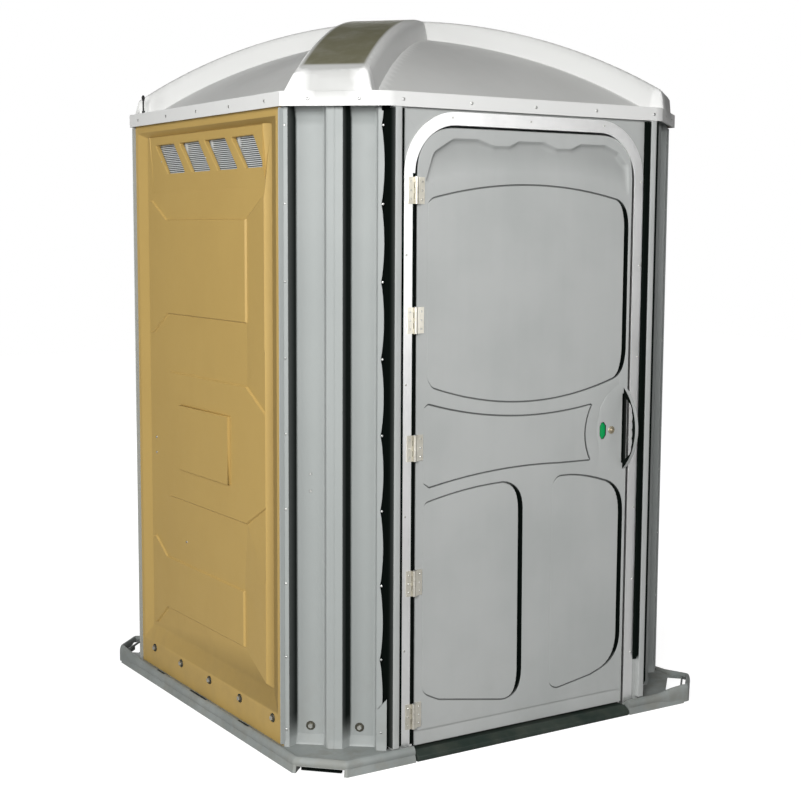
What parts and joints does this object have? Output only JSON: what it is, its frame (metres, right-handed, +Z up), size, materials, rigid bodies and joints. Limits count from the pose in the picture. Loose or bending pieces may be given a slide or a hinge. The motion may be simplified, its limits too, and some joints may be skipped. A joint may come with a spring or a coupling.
{
  "type": "portable toilet cabin",
  "caption": "Wheelchair-size portable toilet cabin: ribbed walls with cut corners, domed roof with crossed ridges, hinged door with lock and pull handle, skid base, tank, seat and rails inside.",
  "frame": {"origin": "middle of the skid's underside, on the ground, under the middle of the walls", "axes": "+Z up, the door faces -Y, hinges on the -X side of the door"},
  "size_m": [1.575, 1.5975, 2.318],
  "materials": {
    "wall_tan": "satin",
    "wall_grey": "satin",
    "door_grey": "satin",
    "roof_white": "satin",
    "base_grey": "matte",
    "floor_grey": "matte",
    "threshold_dark": "matte",
    "screen_grey": "satin",
    "aluminium": "satin",
    "steel": "satin",
    "seal_black": "matte",
    "handle_black": "satin",
    "indicator_green": "gloss",
    "indicator_red": "gloss",
    "tank_grey": "satin",
    "seat_dark": "satin",
    "pipe_grey": "satin",
    "holder_grey": "satin",
    "paper_white": "matte"
  },
  "bodies": {
    "cabin": {"side_panel_left": "wall_tan", "side_panel_right": "wall_tan", "corner_front_left": "wall_grey", "corner_front_right": "wall_grey", "corner_back_right": "wall_grey", "corner_back_left": "wall_grey", "back_panel": "wall_grey", "front_panel": "wall_grey", "roof": "roof_white", "base_skid": "base_grey", "floor_plate": "floor_grey", "threshold": "threshold_dark", "vent_screen_left": "screen_grey", "vent_screen_right": "screen_grey", "door_frame": "aluminium", "hinge_leaves_frame": "aluminium", "rim_rivets": "aluminium", "seam_rivets": "aluminium", "frame_rivets": "aluminium", "base_washers": "steel", "base_bolts": "steel", "wall_screws": "steel", "hinge_pins": "steel", "lock_keeper": "steel", "lid_pin": "steel", "pipe_clamps": "steel", "grab_rail_left": "steel", "grab_rail_back": "steel", "rail_plates": "steel", "rail_corner_plate": "steel", "rail_back_plates": "steel", "coat_hook": "steel", "door_seal": "seal_black", "roof_stud": "handle_black", "waste_tank": "tank_grey", "tank_deck": "tank_grey", "seat": "seat_dark", "lid_hinge_blocks": "seat_dark", "vent_pipe": "pipe_grey", "paper_holder": "holder_grey", "paper_rod": "holder_grey"},
    "door": {"door_outer_shell": "door_grey", "door_inner_shell": "door_grey", "hinge_leaves_door": "aluminium", "hinge_rivets_door": "aluminium", "pull_handle": "handle_black", "lock_inner_plate": "handle_black"},
    "lock_rotor": {"lock_spindle": "steel", "indicator_free": "indicator_green", "indicator_engaged": "indicator_red", "lock_crank": "steel", "lock_lever": "handle_black"},
    "bolt": {"lock_bolt": "steel"},
    "lid": {"seat_lid": "seat_dark"},
    "roll": {"paper_roll": "paper_white"}
  },
  "joints": [
    {"name": "door_hinge", "type": "hinge", "parent": "cabin", "child": "door", "pos_m": [-0.42, -0.76, 0.957], "axis": [0, 0, -1], "range_deg": [0, 105], "stiffness_Nm_per_rad": 1.2},
    {"name": "lock_turn", "type": "hinge", "parent": "door", "child": "lock_rotor", "pos_m": [0.349, -0.73, 0.96], "axis": [0, 1, 0], "range_deg": [0, 90]},
    {"name": "bolt_slide", "type": "slide", "parent": "door", "child": "bolt", "axis": [1, 0, 0], "range_m": [0, 0.02263]},
    {"name": "lid_hinge", "type": "hinge", "parent": "cabin", "child": "lid", "pos_m": [0, 0.617, 0.459], "axis": [-1, 0, 0], "range_deg": [0, 95]},
    {"name": "roll_spin", "type": "hinge", "parent": "cabin", "child": "roll", "pos_m": [-0.644, 0.183, 0.56], "axis": [0, 1, 0], "continuous": true}
  ],
  "couplings": [
    {"joint": "bolt_slide", "follows": "lock_turn", "m_per_rad": 0.014406}
  ]
}
